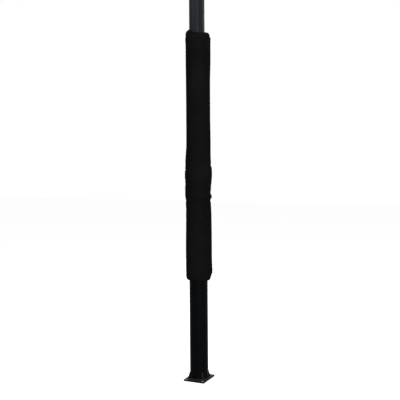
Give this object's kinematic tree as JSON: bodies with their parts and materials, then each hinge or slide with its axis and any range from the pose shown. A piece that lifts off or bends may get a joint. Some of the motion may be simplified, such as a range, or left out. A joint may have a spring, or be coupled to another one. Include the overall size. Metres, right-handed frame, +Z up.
{
  "type": "padded telescopic volleyball post",
  "caption": "Volleyball net post: bolt-down floor plate, lower tube, sliding mast with a net ring, and a padded vinyl sleeve round both tubes.",
  "frame": {"origin": "centre of the floor plate's underside, on the axis of the tubes", "axes": "+Z up along the tubes; -X towards the net; Y along the plate's long side"},
  "size_m": [0.186, 0.162, 2.55],
  "materials": {
    "black_paint": "satin",
    "mast_paint": "satin",
    "zinc_steel": "zinc plated",
    "guide_plastic": "matt",
    "foam": "open foam",
    "vinyl": "soft matt vinyl",
    "hook_tape": "woven"
  },
  "bodies": {
    "post": {"base_plate": "black_paint", "base_weld": "black_paint", "gussets": "black_paint", "lower_tube": "black_paint", "mouth_bush": "guide_plastic", "clamp_collar": "black_paint", "clamp_bolts": "zinc_steel", "clamp_washers": "zinc_steel", "clamp_nuts": "zinc_steel", "pad_foam": "foam", "pad_cover": "vinyl", "closure_tape": "hook_tape", "pad_flap": "vinyl"},
    "mast": {"mast_tube": "mast_paint", "foot_bush": "guide_plastic", "foot_screws": "zinc_steel", "mast_cap": "guide_plastic", "net_eye": "zinc_steel", "eye_saddles": "guide_plastic", "eye_washer": "zinc_steel", "eye_nut": "zinc_steel"},
    "ring": {"net_ring": "zinc_steel"}
  },
  "joints": [
    {"name": "mast_slide", "type": "slide", "parent": "post", "child": "mast", "axis": [0, 0, 1], "range_m": [-0.3, 0.06]},
    {"name": "ring_swing", "type": "hinge", "parent": "mast", "child": "ring", "pos_m": [-0.08245, 0, 2.4203], "axis": [0, 1, 0], "range_deg": [-25, 150]}
  ]
}
